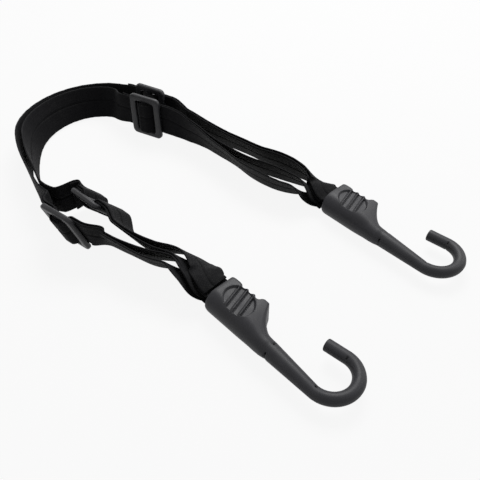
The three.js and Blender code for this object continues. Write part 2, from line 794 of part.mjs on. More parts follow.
// The strap is centred on the origin and stands on the ground.
const strap = new THREE.Group();
strap.name = "elastic_strap";
strap.add(strap_group);
strap.updateMatrixWorld(true);
const box = new THREE.Box3().setFromObject(strap_group, true);
const centre = box.getCenter(new THREE.Vector3());
strap_group.position.set(-centre.x, -centre.y, -box.min.z);

export default strap;
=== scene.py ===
import math

import bmesh
import bpy
import numpy as np
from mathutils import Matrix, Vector
from mathutils.geometry import tessellate_polygon


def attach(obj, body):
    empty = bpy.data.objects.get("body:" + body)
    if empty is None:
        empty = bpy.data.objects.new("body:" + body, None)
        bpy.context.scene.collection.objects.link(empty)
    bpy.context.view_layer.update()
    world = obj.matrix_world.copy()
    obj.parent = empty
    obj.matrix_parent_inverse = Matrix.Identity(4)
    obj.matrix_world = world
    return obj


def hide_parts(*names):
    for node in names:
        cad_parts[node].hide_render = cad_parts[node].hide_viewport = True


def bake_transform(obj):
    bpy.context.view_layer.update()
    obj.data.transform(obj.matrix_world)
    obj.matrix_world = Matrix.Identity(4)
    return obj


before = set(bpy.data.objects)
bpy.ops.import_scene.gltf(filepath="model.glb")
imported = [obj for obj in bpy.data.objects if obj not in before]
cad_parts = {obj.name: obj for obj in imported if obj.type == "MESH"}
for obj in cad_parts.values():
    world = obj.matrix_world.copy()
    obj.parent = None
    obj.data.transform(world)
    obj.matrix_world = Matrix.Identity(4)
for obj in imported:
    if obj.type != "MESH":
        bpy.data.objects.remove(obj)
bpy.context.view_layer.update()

MM = 0.001
Z_AXIS = np.array([0.0, 0.0, 1.0])

# Where the lay-out's own zero lies in the part's frame
LAYOUT_ZERO = np.array([15.974, -19.433, 0.0]) * MM

# Bands
BAND_WIDTH = 25 * MM
BAND_THICKNESS = 1.4 * MM
MOUTH_BAND_WIDTH = 17.6 * MM
PIN_BAND_WIDTH = 16.2 * MM
LAYER_GAP = 0.3 * MM
GROUND_GAP = 0.3 * MM
TAIL_CLEARANCE = 0.5 * MM
SWELL_SHARE = 0.8
STUB_LIFT = 0.5 * MM
MOUTH_TAPER_LENGTH = 26 * MM
LAYER_OFFSET = (BAND_THICKNESS + LAYER_GAP) / 2

# Sliders
SLIDER_LENGTH = 26 * MM
SLIDER_RAIL = 4 * MM
SLIDER_BAR = 4.2 * MM
SLIDER_CENTRE_BAR = 4 * MM
SLIDER_THICKNESS = 3 * MM
SLIDER_CORNER_RADIUS = 3.2 * MM
WINDOW_CLEARANCE = 0.6 * MM
WEAVE_CLEARANCE = 0.35 * MM
SLIDE_TRAVEL = 4 * MM
SLIDER_WIDTH = BAND_WIDTH + 2 * WINDOW_CLEARANCE + 2 * SLIDER_RAIL
WEAVE_DEPTH = SLIDER_THICKNESS / 2 + WEAVE_CLEARANCE + BAND_THICKNESS + LAYER_GAP / 2
WEAVE_TOP = SLIDER_CENTRE_BAR / 2 + WEAVE_CLEARANCE
WEAVE_BOTTOM = SLIDER_LENGTH / 2 - SLIDER_BAR
WEAVE_HOLD = SLIDER_LENGTH / 2 + SLIDE_TRAVEL + BAND_THICKNESS
LONG_EASE = 20 * MM
SHORT_EASE = 14 * MM

# Hooks
HOOK_THICKNESS = 18 * MM
BACK_DEPTH = 17.4 * MM
COLLAR_HEIGHT = 5.8 * MM
CREST_HEIGHT = 5.3 * MM
BLOCK_HEIGHT = 6.9 * MM
COLLAR_LENGTH = 7 * MM
SCOOP_LENGTH = 17 * MM
END_BLOCK_LENGTH = 4.6 * MM
FLANK_LENGTH = 16 * MM
HUMP_EDGE_RADIUS = 1.9 * MM
BACK_CORNER = 9 * MM
MOUTH_EDGE = 3 * MM
MOUTH_EDGE_DEPTH = 0.7 * MM
SHANK_RADIUS = 5.5 * MM
ROD_RADIUS = 3.8 * MM
BEND_RADIUS = 14.3 * MM
BEND_CENTRE_LENGTH = 80.2 * MM
BEND_END_DEGREES = 97
TIP_LENGTH = 13 * MM
TIP_EDGE = 0.7 * MM
SEAM_STEP = 0.6 * MM
SEAM_LENGTH = 48 * MM
FLANK_POWER = 2.1

# Grip recess on both sides of a hook
RECESS_PLACE = 16.2 * MM
RECESS_MIDDLE = -5 * MM
RECESS_LENGTH = 24 * MM
RECESS_HEIGHT = 17.8 * MM
RECESS_TILT = math.radians(-17)
RECESS_DEPTH = 1.3 * MM
RIB_DEPTH = 0.35 * MM
RIB_WIDTH = 1.5 * MM
RIB_PITCH = 5.4 * MM
RIB_COUNT = 3
RIB_TILT = math.radians(16.5)
SCALLOP_RADIUS = 2.7 * MM
SCALLOP_DEPTH = 1.3 * MM

# Mouth and cross pin
MOUTH_WALL = 1.3 * MM
BACK_WALL = 2 * MM
SIDE_WALL = 1.8 * MM
MOUTH_CORNER = 5.5 * MM
MOUTH_DEPTH = 21 * MM
PIN_RADIUS = 2.2 * MM
PIN_MOUTH_DISTANCE = 9.8 * MM
LOOP_CLEARANCE = 0.3 * MM
MOUTH_CORNER_ROOM = 1.4 * MM
INNER_LOW = BACK_WALL - BACK_DEPTH
INNER_HIGH = CREST_HEIGHT - SCALLOP_DEPTH - MOUTH_WALL
BAND_LOW = INNER_LOW + MOUTH_CORNER_ROOM
MOUTH_MIDDLE = BAND_LOW + MOUTH_BAND_WIDTH / 2
PIN_MIDDLE = BAND_LOW + PIN_BAND_WIDTH / 2
LOOP_RADIUS = PIN_RADIUS + LOOP_CLEARANCE + BAND_THICKNESS / 2

# The lay-out on the ground: the hooks lie as in the part's source,
# and the bands' leans and spacing are set closer to the photo
REACH = 100 * MM
HOOK_PLACES = {"near": ((0.466, -1.115), -47.2), "far": ((1.221, -0.244), -47.9)}
# Place in X and Y as shares of the reach, outer and inner lean in degrees,
# half distance between the straps and lift off the ground as shares of the band's width
ROUTE = [
    (-0.285, -0.408, 47, 52, 0.17, 0.06),
    (-0.38, -0.318, 37, 37, 0.17, 0.02),
    (-0.535, -0.265, 32, 31, 0.18, 0.02),
    (-0.7, -0.16, 29, 30, 0.21, 0.05),
    (-0.87, -0.03, 25, 36, 0.34, 0.11),
    (-1.035, 0.07, 18, 40, 0.58, 0.15),
    (-1.196, 0.168, 9, 14, 0.17, 0.12),
    (-1.345, 0.28, 3, 5, 0.065, 0.07),
    (-1.45, 0.46, 4, 4, 0.07, 0.02),
    (-1.54, 0.635, 8, 8, 0.085, 0),
    (-1.61, 0.83, 16, 16, 0.095, 0),
    (-1.65, 1.02, 25, 25, 0.095, 0),
    (-1.64, 1.19, 29, 29, 0.095, 0),
    (-1.58, 1.35, 30, 30, 0.095, 0),
    (-1.475, 1.485, 30, 30, 0.095, 0),
    (-1.335, 1.575, 28, 28, 0.1, 0),
    (-1.18, 1.6, 24, 24, 0.12, 0.02),
    (-1.04, 1.56, 16, 16, 0.16, 0.07),
    (-0.895, 1.44, 7, 7, 0.24, 0.14),
    (-0.716, 1.322, 0, 0, 0.29, 0.184),
    (-0.555, 1.242, -4, -4, 0.23, 0.14),
    (-0.41, 1.165, -10, -10, 0.19, 0.07),
    (-0.265, 1.068, -22, -20, 0.21, 0.02),
    (-0.127, 0.955, -30, -27, 0.28, 0),
    (0.008, 0.848, -32, -31, 0.31, 0),
    (0.14, 0.74, -31, -32, 0.31, 0),
    (0.275, 0.655, -27, -32, 0.29, 0),
    (0.398, 0.566, -29, -36, 0.25, 0.01),
    (0.5, 0.477, -42, -46, 0.19, 0.04),
]
NEAR_STATION = 5
FAR_STATION = 19
# Each slider's slip along its strap in millimetres, its turn in degrees, and the side that its centre bar
# pushes the bands to. Then the tail's swell and how late it comes, the stub's length, the tail's gap before
# the mouth, and how far the slider holds its bands straight before they ease into their own path.
SLIDERS = {
    "near_outer": dict(
        strap="outer", end="near", slip=0, turn=0, bulge=1,
        swell=3.5, late=1.1, stub=25, tail_gap=6, hold=15, ease=SHORT_EASE,
    ),
    "near_inner": dict(
        strap="inner", end="near", slip=-2, turn=-14, bulge=1,
        swell=2.5, late=1.1, stub=23, tail_gap=3, hold=15, ease=SHORT_EASE,
    ),
    "far_inner": dict(
        strap="inner", end="far", slip=0, turn=0, bulge=-1,
        swell=8.5, late=1.8, stub=24, tail_gap=3, hold=18, ease=LONG_EASE,
    ),
    "far_outer": dict(
        strap="outer", end="far", slip=-5.5, turn=0, bulge=-1,
        swell=0.4, late=1.1, stub=24, tail_gap=3, hold=18, ease=LONG_EASE,
    ),
}
UPRIGHT_LEAN = 35
FLAT_LEAN = 70
SIDE_BY_SIDE_LEAN = 50
STACKED_LEAN = 90
PATH_STEPS = 20


def mix(a, b, share):
    return a + (b - a) * share


def clamp(x, low=0.0, high=1.0):
    return min(max(x, low), high)


def smooth(x, low, high):
    share = clamp((x - low) / (high - low))
    return share * share * (3 - 2 * share)


def unit(vector):
    return vector / np.linalg.norm(vector)


def level_direction(angle):
    return np.array([math.cos(angle), math.sin(angle), 0.0])


def facing(along, across, face):
    """The normal to both directions, on the side that the face looks to."""
    normal = unit(np.cross(along, across))
    return -normal if normal.dot(face) < 0 else normal


def new_object(name, data):
    holder = bpy.data.objects.new(name, data)
    bpy.context.collection.objects.link(holder)
    return holder


# Camera, at the height and distance that the photograph was taken from
CAMERA_ANGLE = math.radians(45)
CAMERA_ELEVATION = math.radians(43.5)
CAMERA_DISTANCE = 386.2 * MM


def set_camera():
    camera = bpy.data.cameras.new("camera")
    camera.sensor_fit = "HORIZONTAL"
    camera.angle = CAMERA_ANGLE
    camera.clip_start = 10 * MM
    holder = new_object("camera", camera)
    away = Vector((0, -math.cos(CAMERA_ELEVATION), math.sin(CAMERA_ELEVATION)))
    holder.location = Vector(LAYOUT_ZERO) + away * CAMERA_DISTANCE
    holder.rotation_euler = (math.radians(90) - CAMERA_ELEVATION, 0, 0)
    bpy.context.scene.camera = holder


set_camera()


# Hook's own frame: X from its mouth to its bend, Y to its hump, Z up from its middle plane
def hook_frame(end):
    (x, y), degrees = HOOK_PLACES[end]
    along, up = level_direction(math.radians(degrees)), level_direction(math.radians(degrees + 90))
    middle = LAYOUT_ZERO + np.array([x * REACH, y * REACH, HOOK_THICKNESS / 2])
    return middle - along * BEND_CENTRE_LENGTH, along, up


def in_hook(end, x, y, z):
    origin, along, up = hook_frame(end)
    return origin + along * x + up * y + Z_AXIS * z


# Smooth curve through points, even in the points' numbers
def on_curve(points, place):
    last = len(points) - 1
    i = min(int(place), last - 1)
    t = place - i
    p1, p2 = points[i], points[i + 1]
    p0 = points[i - 1] if i > 0 else 2 * points[0] - points[1]
    p3 = points[i + 2] if i < last - 1 else 2 * points[last] - points[last - 1]
    m1, m2 = (p2 - p0) / 2, (p3 - p1) / 2
    curl = 2 * p1 - 2 * p2 + m1 + m2
    bow = 3 * p2 - 3 * p1 - 2 * m1 - m2
    return ((curl * t + bow) * t + m1) * t + p1


def slide_share(lean):
    return math.tan(math.radians(lean)) * (1 - smooth(abs(lean), UPRIGHT_LEAN, FLAT_LEAN))


def stack_lean(lean):
    return math.copysign(STACKED_LEAN, lean) * smooth(abs(lean), SIDE_BY_SIDE_LEAN, STACKED_LEAN)


def rest_height(lean):
    angle = math.radians(abs(lean))
    return GROUND_GAP + BAND_WIDTH / 2 * math.cos(angle) + (LAYER_OFFSET + BAND_THICKNESS) * math.sin(angle)


def route_stations(own):
    places, angles = [], []

    def add_mouth(end, x, lean):
        places.append(in_hook(end, x, MOUTH_MIDDLE, 0.0))
        angles.append(np.array([lean, LOOP_RADIUS, 2.0 * lean]))

    mouth_run, mouth_gap = MOUTH_BAND_WIDTH / 3, 3 * LAYER_GAP
    add_mouth("near", -mouth_gap, STACKED_LEAN)
    add_mouth("near", -mouth_run, STACKED_LEAN)
    for x, y, outer_lean, inner_lean, apart, lift in ROUTE:
        lean = (outer_lean, inner_lean)[own]
        height = rest_height(lean) + lift * BAND_WIDTH
        places.append(LAYOUT_ZERO + np.array([x * REACH, y * REACH, height]))
        angles.append(np.array([lean, apart * BAND_WIDTH, outer_lean + inner_lean]))
    add_mouth("far", -mouth_run, -STACKED_LEAN)
    add_mouth("far", -mouth_gap, -STACKED_LEAN)
    return places, angles


# One strap's path: its middle, width direction and outward direction along its length
def strap_path(strap):
    own, side = (0, 1) if strap == "outer" else (1, -1)
    places, angles = route_stations(own)
    last = len(places) - 1
    rows = []
    length, before = 0.0, None
    for step in range(PATH_STEPS * last + 1):
        place = step / PATH_STEPS
        little = last / 10000
        tangent = on_curve(places, min(place + little, last)) - on_curve(places, max(place - little, 0.0))
        level = unit(np.array([-tangent[1], tangent[0], 0.0]))
        lean, apart, lean_sum = on_curve(angles, place)
        angle, stack = math.radians(lean), math.radians(stack_lean(lean_sum / 2))
        across = level * math.sin(angle) + Z_AXIS * math.cos(angle)
        face = level * math.cos(angle) - Z_AXIS * math.sin(angle)
        outward = level * math.cos(stack) - Z_AXIS * math.sin(stack)
        middle = on_curve(places, place) + outward * side * apart
        if before is not None:
            length += np.linalg.norm(middle - before)
        before = middle
        rows.append([length, *middle, *across, *face, slide_share(lean)])
    return np.array(rows)


PATHS = {strap: strap_path(strap) for strap in ("outer", "inner")}
TOTALS = {strap: PATHS[strap][-1, 0] for strap in PATHS}


def free_point(strap, length):
    rows = PATHS[strap]
    s = clamp(length, 0.0, TOTALS[strap])
    row = np.array([np.interp(s, rows[:, 0], rows[:, k]) for k in range(1, rows.shape[1])])
    return row[0:3], unit(row[3:6]), unit(row[6:9]), row[9]


def place_sliders():
    for name, slider in SLIDERS.items():
        strap = slider["strap"]
        station = NEAR_STATION if slider["end"] == "near" else FAR_STATION
        length = PATHS[strap][PATH_STEPS * (station + 2), 0] + slider["slip"] * MM
        middle, across, face, _ = free_point(strap, length)
        ahead = free_point(strap, length + SLIDER_LENGTH / 2)[0]
        along = ahead - free_point(strap, length - SLIDER_LENGTH / 2)[0]
        along = level_direction(math.atan2(along[1], along[0]) + math.radians(slider["turn"]))
        across = unit(across - along * across.dot(along))
        slider.update(length=length, middle=middle, along=along, across=across)
        slider["face"] = facing(along, across, face)
        slider["toward_hook"] = -1 if slider["end"] == "near" else 1
        slider["hook_end"] = 0.0 if slider["end"] == "near" else TOTALS[strap]


place_sliders()


# The path with its straight stretches at the sliders, and its weave over and under their bars
def woven_point(strap, length):
    middle, across, face, slide = free_point(strap, length)
    loose = 1.0
    for slider in SLIDERS.values():
        if slider["strap"] != strap:
            continue
        passed = length - slider["length"]
        away = abs(passed)
        hold = slider["hold"] * MM
        if away < hold + slider["ease"]:
            free = smooth(away, hold, hold + slider["ease"])
            straight = slider["middle"] + slider["along"] * passed
            middle = mix(straight, middle, free)
            across = unit(mix(slider["across"], across, free))
            face = unit(mix(slider["face"], face, free))
            over = 1 - 2 * smooth(away, WEAVE_TOP, WEAVE_BOTTOM)
            middle = middle + face * slider["bulge"] * WEAVE_DEPTH * over * (1 - free)
            loose = free
    return middle, across, face, slide * loose


# Where a band's middle, width direction and face lie, at an offset to one side of its strap's path
def band_station(strap, length, offset):
    reach = 0.4 * MM
    middle, across, face, slide = woven_point(strap, length)
    along = unit(woven_point(strap, length + reach)[0] - woven_point(strap, length - reach)[0])
    across = unit(across - along * across.dot(along))
    normal = facing(along, across, face)
    from_end = min(length, TOTALS[strap] - length)
    width = mix(MOUTH_BAND_WIDTH, BAND_WIDTH, smooth(from_end, 0, MOUTH_TAPER_LENGTH))
    return middle + normal * offset + across * offset * slide, across, normal, width


# Band's section: flat faces with a crease along the middle, fine cords, and a rounded woven edge
CREASE_PLACE = 1.4 * MM
CREASE_DEPTH = 0.42 * MM
CREASE_WIDTH = 0.75 * MM
CORD_PITCH = 2.5 * MM
CORD_DEPTH = 0.05 * MM
EDGE_ROUND = 1.1 * MM
EDGE_SPOTS = (0.0, 0.06, 0.2, 0.45, 0.75, 1.1)
COLUMN_COUNT = 38


def section_spots():
    edge = [-0.5 + spot * MM / BAND_WIDTH for spot in EDGE_SPOTS]
    inside = list(np.linspace(edge[-1], -edge[-1], COLUMN_COUNT)[1:-1])
    return edge + inside + [-spot for spot in reversed(edge)]


def half_height(spot, width, slim):
    """Half the band's thickness at a spot from -0.5 to 0.5 across it."""
    from_edge = (0.5 - abs(spot)) * width
    left = clamp(1 - from_edge / EDGE_ROUND)
    height = (BAND_THICKNESS / 2 - slim) * math.sqrt(max(1 - left ** 2, 0.0))
    place = spot * width
    crease = CREASE_DEPTH * math.exp(-(((place - CREASE_PLACE) / CREASE_WIDTH) ** 2))
    cords = CORD_DEPTH * (1 - math.cos(2 * math.pi * place / CORD_PITCH)) / 2
    return max(height - (crease + cords) * (1 - left), 0.0)


SPOTS = section_spots()


def new_piece(name, verts, faces, uvs=None, sharp=50):
    mesh = bpy.data.meshes.new(name)
    mesh.from_pydata([tuple(v) for v in verts], [], faces)
    if uvs is not None:
        layer = mesh.uv_layers.new(name="UVMap")
        corner_verts = np.empty(len(mesh.loops), dtype=np.int32)
        mesh.loops.foreach_get("vertex_index", corner_verts)
        layer.data.foreach_set("uv", np.asarray(uvs, dtype=np.float32)[corner_verts].ravel())
    bm = bmesh.new()
    bm.from_mesh(mesh)
    bmesh.ops.recalc_face_normals(bm, faces=bm.faces)
    bm.to_mesh(mesh)
    bm.free()
    mesh.shade_smooth()
    mesh.set_sharp_from_angle(angle=math.radians(sharp))
    return new_object(name, mesh)


def ring_faces(size, count, first=0):
    """Quads between rings of points, each ring of one size and right after the one before."""
    faces = []
    for ring in range(count - 1):
        a, b = first + ring * size, first + (ring + 1) * size
        for i in range(size):
            j = (i + 1) % size
            faces.append((a + i, a + j, b + j, b + i))
    return faces


def closed_tube(size, count):
    """The same quads with both ends closed."""
    last = (count - 1) * size
    return [*ring_faces(size, count), tuple(range(size - 1, -1, -1)), tuple(range(last, last + size))]


# Small waves of a woven edge: share of the width, run of one wave, and where it starts
EDGE_WAVES = ((0.0035, 1.7 * MM, 0.0), (0.003, 0.9 * MM, 1.3))


# Webbing through stations that give its middle, width direction, face direction and width
def webbing(name, stations, lengths, slim=0.0):
    verts, uvs = [], []
    for (middle, across, face, width), length in zip(stations, lengths):
        pucker = 1 + sum(share * math.sin(length / run + start) for share, run, start in EDGE_WAVES)
        waist = width * pucker - 2 * slim
        for side in (1, -1):
            for spot in SPOTS if side > 0 else reversed(SPOTS[1:-1]):
                height = side * half_height(spot, waist, slim)
                verts.append(middle + across * spot * waist + face * height)
                uvs.append((0.5 + spot * width / BAND_WIDTH, length / BAND_WIDTH))
    return new_piece(name, verts, closed_tube(2 * len(SPOTS) - 2, len(lengths)), uvs)


WEB_STEP = 0.8 * MM
WOVEN_STEP = 0.5 * MM
HIDDEN_SLIM = 0.03 * MM
HIDDEN_RUN = 5 * MM


def strap_piece(name, strap, start, end, offset_at, step=WEB_STEP, slim=0.0):
    count = max(2, int(abs(end - start) / step) + 1)
    lengths = np.linspace(start, end, count)
    stations = [band_station(strap, s, offset_at(s)) for s in lengths]
    return webbing(name, stations, lengths, slim)


def leg_offset(slider, length):
    return LAYER_OFFSET * smooth(abs(length - slider["hook_end"]), 0, MOUTH_TAPER_LENGTH)


def add_middle_band(strap, near, far):
    start = near["length"] + WEAVE_HOLD - HIDDEN_RUN
    end = far["length"] - WEAVE_HOLD + HIDDEN_RUN
    piece = strap_piece(strap + "_webbing", strap, start, end, lambda s: -LAYER_OFFSET, slim=HIDDEN_SLIM)
    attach(piece, "middle_bands")
    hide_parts("middle_band_" + strap)
    return piece


# The ends of both bands at one slider: woven parts move with the slider, loose lengths stretch with the legs
def add_band_ends(name):
    slider = SLIDERS[name]
    strap, out = slider["strap"], slider["toward_hook"]
    here, hook_end = slider["length"], slider["hook_end"]
    body = "slider_" + name + "_body"

    def tail_offset(length):
        free_from = WEAVE_HOLD + slider["ease"]
        room = abs(hook_end - out * slider["tail_gap"] * MM - here) - free_from
        share = clamp((out * (length - here) - free_from) / room)
        swell = slider["swell"] * MM * math.sin(math.pi * share ** slider["late"]) ** 2
        clear = TAIL_CLEARANCE * smooth(share, 0, SWELL_SHARE)
        return leg_offset(slider, length) - 2 * LAYER_OFFSET - swell - clear

    def stub_offset(length):
        passed = out * (here - length) - WEAVE_HOLD
        return LAYER_OFFSET + STUB_LIFT * max(passed, 0.0) / (slider["stub"] * MM - WEAVE_HOLD)

    before, past = here - out * WEAVE_HOLD, here + out * WEAVE_HOLD
    stub_end, tail_end = here - out * slider["stub"] * MM, hook_end - out * slider["tail_gap"] * MM
    start = here + out * (WEAVE_HOLD - HIDDEN_RUN)
    woven_tail = strap_piece(name + "_middle_band_weave", strap, before, past, tail_offset, WOVEN_STEP)
    stub = strap_piece(name + "_hook_band_stub", strap, stub_end, past, stub_offset, WOVEN_STEP)
    tail = strap_piece(name + "_middle_band_tail", strap, start, tail_end, tail_offset, slim=HIDDEN_SLIM)
    leg = strap_piece(
        name + "_hook_band_leg", strap, start, hook_end, lambda s: leg_offset(slider, s), slim=HIDDEN_SLIM
    )
    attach(woven_tail, body)
    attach(stub, body)
    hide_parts("hook_band_end_" + name)
    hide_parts("middle_band_end_" + name)
    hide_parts("hook_band_leg_" + name)
    for piece in (tail, leg):
        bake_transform(piece)
    return [woven_tail, stub, tail, leg]


LOOP_RUN = 2.2 * MM
LOOP_STEPS = 20


# The turn of a hook band round its cross pin
def add_loop(end):
    stations, lengths = [], []
    _, along, up = hook_frame(end)

    def put(x, z, face_x, face_z, inside):
        width = mix(MOUTH_BAND_WIDTH, PIN_BAND_WIDTH, inside)
        middle = in_hook(end, x, mix(MOUTH_MIDDLE, PIN_MIDDLE, inside), z)
        lengths.append(lengths[-1] + np.linalg.norm(middle - stations[-1][0]) if stations else 0.0)
        stations.append((middle, up, along * face_x + Z_AXIS * face_z, width))

    def put_straight(side, i):
        x = mix(-LOOP_RUN, PIN_MOUTH_DISTANCE, i / LOOP_STEPS)
        put(x, side * LOOP_RADIUS, 0, side, smooth(max(x, 0.0) / PIN_MOUTH_DISTANCE, 0, 0.7))

    for i in range(LOOP_STEPS):
        put_straight(1, i)
    for i in range(2 * LOOP_STEPS + 1):
        angle = math.pi / 2 - math.pi * i / (2 * LOOP_STEPS)
        x = PIN_MOUTH_DISTANCE + LOOP_RADIUS * math.cos(angle)
        put(x, LOOP_RADIUS * math.sin(angle), math.cos(angle), math.sin(angle), 1.0)
    for i in range(LOOP_STEPS - 1, -1, -1):
        put_straight(-1, i)
    piece = webbing(end + "_pin_loop", stations, lengths, slim=HIDDEN_SLIM * 2)
    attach(piece, "hook_bands_" + end)
    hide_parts("hook_band_loop_" + end)
    return piece


webbing_pieces = []
for strap in ("outer", "inner"):
    near, far = SLIDERS["near_" + strap], SLIDERS["far_" + strap]
    webbing_pieces.append(add_middle_band(strap, near, far))
for name in SLIDERS:
    webbing_pieces += add_band_ends(name)
for end in HOOK_PLACES:
    webbing_pieces.append(add_loop(end))


# Rounded rectangle in a slider's own plane, drawn in from its edge or out from it
def round_rectangle(left, bottom, right, top, radius, inset, steps=8):
    r = max(radius - inset, 0.05 * MM)
    left, bottom, right, top = left + inset, bottom + inset, right - inset, top - inset
    corners = [
        (right - r, bottom + r, -90), (right - r, top - r, 0),
        (left + r, top - r, 90), (left + r, bottom + r, 180),
    ]
    points = []
    for x, y, start in corners:
        for i in range(steps + 1):
            angle = math.radians(start + 90 * i / steps)
            points.append((x + r * math.cos(angle), y + r * math.sin(angle)))
    return points


SLIDER_EDGE = 1.25 * MM
SLIDER_EDGE_STEPS = 6
WINDOW_CORNER_RADIUS = 1.3 * MM
# How much fuller the moulded frame is than its plain solid
FRAME_GROWTH = 0.8 * MM
BAR_GROWTH = 0.5 * MM
RAIL_GROWTH = 0.3 * MM
FOOT_GROWTH = 0.1 * MM
FACE_GROWTH = 0.3 * MM


# A moulded frame with two windows and rounded bars
def add_slider(name):
    slider = SLIDERS[name]
    far, wide = SLIDER_LENGTH / 2, SLIDER_WIDTH / 2
    inner = wide - SLIDER_RAIL - RAIL_GROWTH
    near_edge, far_edge = SLIDER_CENTRE_BAR / 2 + BAR_GROWTH, far - SLIDER_BAR - BAR_GROWTH
    foot = -wide - FOOT_GROWTH
    far, wide = far + FRAME_GROWTH, wide + FRAME_GROWTH
    outlines = [
        ((-far, foot, far, wide, SLIDER_CORNER_RADIUS + FRAME_GROWTH), 1),
        ((near_edge, -inner, far_edge, inner, WINDOW_CORNER_RADIUS), -1),
        ((-far_edge, -inner, -near_edge, inner, WINDOW_CORNER_RADIUS), -1),
    ]
    levels = []
    for i in range(SLIDER_EDGE_STEPS + 1):
        angle = math.pi / 2 * i / SLIDER_EDGE_STEPS
        rise = SLIDER_THICKNESS / 2 + FACE_GROWTH - SLIDER_EDGE * (1 - math.sin(angle))
        levels.append((SLIDER_EDGE * (1 - math.cos(angle)), rise))
    profile = [(inset, -z) for inset, z in reversed(levels)] + levels
    verts, faces, tops = [], [], []
    for shape, way in outlines:
        first = len(verts)
        for inset, z in profile:
            for x, y in round_rectangle(*shape, way * inset):
                verts.append((x, y, z))
        size = (len(verts) - first) // len(profile)
        faces += ring_faces(size, len(profile), first)
        tops.append((first, size, first + (len(profile) - 1) * size))
    for level in (0, 2):
        starts = [top[level] for top in tops]
        rings = [[Vector(v) for v in verts[start:start + top[1]]] for start, top in zip(starts, tops)]
        order = [start + i for start, top in zip(starts, tops) for i in range(top[1])]
        for a, b, c in tessellate_polygon(rings):
            faces.append((order[a], order[b], order[c]))
    middle, along, across = slider["middle"], slider["along"], slider["across"]
    normal = np.cross(along, across)
    placed = [middle + along * x + across * y + normal * z for x, y, z in verts]
    piece = new_piece(name + "_tri_glide", placed, faces, sharp=40)
    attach(piece, "slider_" + name + "_body")
    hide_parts("slider_" + name)
    return piece


# Hook's section: a box with round corners, or a circle, with its points spread evenly from back to top
RING_HALF = 100
CORNER_STEPS = 24


def hook_section(half, bottom, top, bottom_radius, top_radius):
    low_r, high_r = min(bottom_radius, half), min(top_radius, half)
    outline = [(0.0, bottom)]
    for start, r, height in ((-90, low_r, bottom + low_r), (0, high_r, top - high_r)):
        for i in range(CORNER_STEPS + 1):
            angle = math.radians(start + 90 * i / CORNER_STEPS)
            outline.append((half - r + r * math.cos(angle), height + r * math.sin(angle)))
    outline.append((0.0, top))
    points = np.array(outline)
    gaps = np.linalg.norm(np.diff(points, axis=0), axis=1)
    run = np.concatenate([[0.0], np.cumsum(gaps)])
    spots = np.linspace(0, run[-1], RING_HALF + 1)
    side = np.stack([np.interp(spots, run, points[:, 0]), np.interp(spots, run, points[:, 1])], axis=1)
    other = side[1:-1][::-1] * np.array([-1.0, 1.0])
    return np.concatenate([side, other])


SCOOP_START = COLLAR_LENGTH
SCOOP_END = COLLAR_LENGTH + SCOOP_LENGTH
BLOCK_END = SCOOP_END + END_BLOCK_LENGTH
FLANK_END = BLOCK_END + FLANK_LENGTH
SCALLOP_FILLET = 0.28 * MM


def mouth_rounding(x):
    left = max(MOUTH_EDGE - x, 0.0)
    return MOUTH_EDGE_DEPTH / MOUTH_EDGE * (MOUTH_EDGE - math.sqrt(MOUTH_EDGE ** 2 - left ** 2))


def shank_radius(x):
    return mix(SHANK_RADIUS, ROD_RADIUS, clamp((x - SEAM_LENGTH) / (BEND_CENTRE_LENGTH - SEAM_LENGTH)))


def shank_centre(x):
    return shank_radius(x) - BACK_DEPTH + SEAM_STEP / 2


def scallop_top(x):
    middle_height = CREST_HEIGHT + SCALLOP_RADIUS - SCALLOP_DEPTH
    shift = (RECESS_MIDDLE - CREST_HEIGHT) * math.tan(RIB_TILT)
    top = BLOCK_HEIGHT
    for i in range(RIB_COUNT):
        away = x - (RECESS_PLACE + shift + (i - (RIB_COUNT - 2) / 2) * RIB_PITCH)
        if abs(away) < SCALLOP_RADIUS:
            top = min(top, middle_height - math.sqrt(SCALLOP_RADIUS ** 2 - away ** 2))
    return top


def plain_top(x):
    step = END_BLOCK_LENGTH / 3
    scooped = smooth(x, SCOOP_START - step, SCOOP_START + step)
    block_share = smooth(x, SCOOP_END - step, SCOOP_END + step)
    grip = mix(COLLAR_HEIGHT - mouth_rounding(x) / 4, CREST_HEIGHT, scooped)
    block = mix(grip, BLOCK_HEIGHT, block_share)
    down = (x - BLOCK_END) / FLANK_LENGTH
    drop = 0.0 if down <= 0 else min(1.0, 1 - (1 - min(down, 1.0)) ** FLANK_POWER)
    return mix(block, shank_centre(x) + shank_radius(x), drop)


def handle_top(x):
    spots = [x + SCALLOP_FILLET * share for share in (-1, -0.5, 0, 0.5, 1)]
    return sum(min(plain_top(max(s, 0.0)), scallop_top(s)) for s in spots) / len(spots)


def grip_depth(x, y):
    """How deep the grip recess is at a spot on the hook's side, ribs left standing."""
    dx, dy = x - RECESS_PLACE, y - RECESS_MIDDLE
    a = dx * math.cos(RECESS_TILT) + dy * math.sin(RECESS_TILT)
    b = -dx * math.sin(RECESS_TILT) + dy * math.cos(RECESS_TILT)
    r = math.hypot(a / (RECESS_LENGTH / 2), b / (RECESS_HEIGHT / 2))
    inside = smooth((1 - r) * RECESS_HEIGHT / 2, 0, 0.9 * MM)
    if inside <= 0:
        return 0.0
    rib, groove = 0.0, 0.0
    for i in range(RIB_COUNT):
        place = (i - (RIB_COUNT - 1) / 2) * RIB_PITCH
        away = abs((dx - place) * math.cos(RIB_TILT) + dy * math.sin(RIB_TILT))
        rib = max(rib, 1 - smooth(away, 0.25 * MM, RIB_WIDTH / 2 - 0.1 * MM))
        groove = max(groove, math.exp(-(((away - RIB_WIDTH / 2 - 0.15 * MM) / (0.3 * MM)) ** 2)))
    return inside * (mix(RECESS_DEPTH, RIB_DEPTH, rib) + 0.4 * MM * groove)


